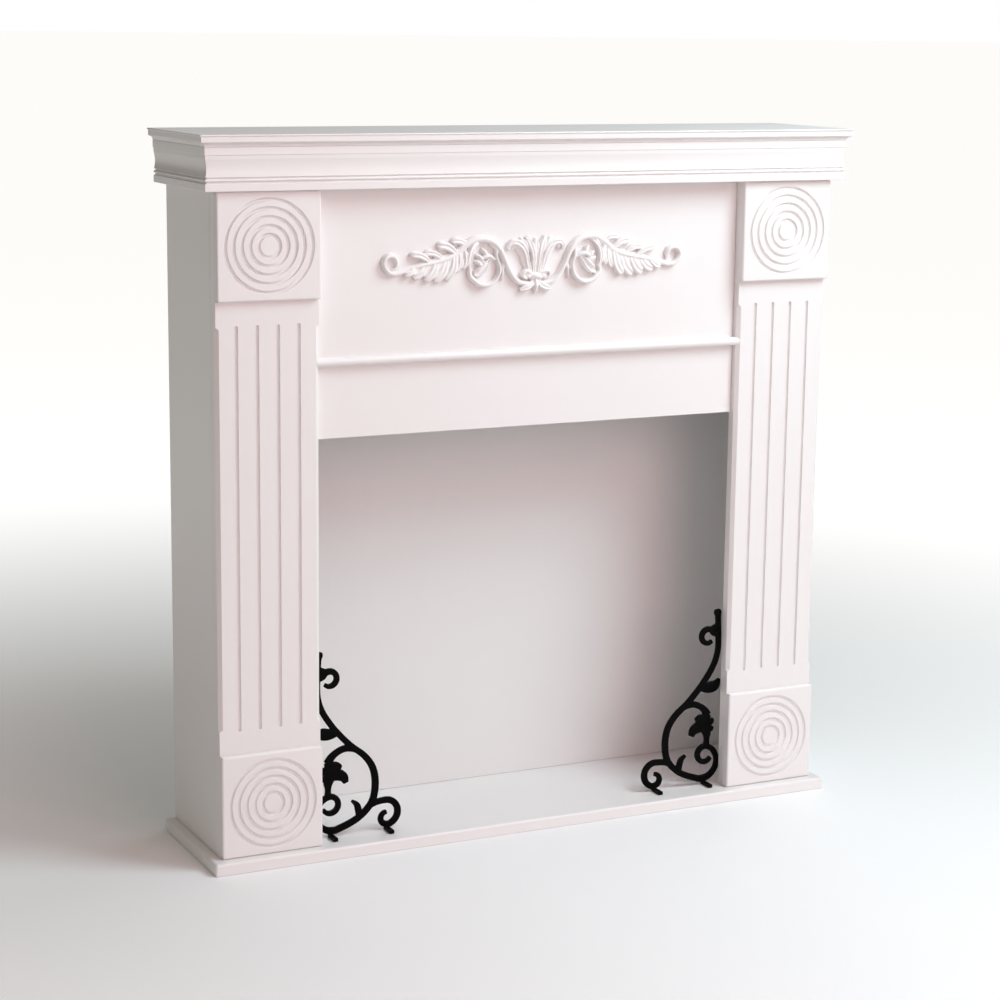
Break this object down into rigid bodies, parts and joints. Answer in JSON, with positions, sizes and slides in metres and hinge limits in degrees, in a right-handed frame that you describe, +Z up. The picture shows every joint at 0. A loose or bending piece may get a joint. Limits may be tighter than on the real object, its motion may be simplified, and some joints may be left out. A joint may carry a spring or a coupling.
{
  "type": "fireplace mantelpiece",
  "caption": "Free-standing white fireplace surround: moulded shelf, fluted pilasters with rosette blocks, carved frieze, plinth board and black scrolled ironwork in the opening.",
  "frame": {"origin": "floor level, at the middle of the shelf's width and depth", "axes": "+X to the right as seen from the front, -Y out of the front, +Z up"},
  "size_m": [1, 0.222, 1],
  "materials": {
    "white_paint": "satin white paint on board",
    "black_iron": "matt black wrought iron"
  },
  "bodies": {
    "root": {"base_board": "white_paint", "side_panel_left": "white_paint", "side_panel_right": "white_paint", "back_panel": "white_paint", "pilaster_left": "white_paint", "pilaster_right": "white_paint", "rosette_block_upper_left": "white_paint", "rosette_block_upper_right": "white_paint", "rosette_block_lower_left": "white_paint", "rosette_block_lower_right": "white_paint", "frieze_board": "white_paint", "frieze_bead": "white_paint", "frieze_carving": "white_paint", "shelf_board": "white_paint", "cornice_front": "white_paint", "cornice_left": "white_paint", "cornice_right": "white_paint", "iron_scroll_left": "black_iron", "iron_scroll_right": "black_iron"}
  },
  "joints": []
}
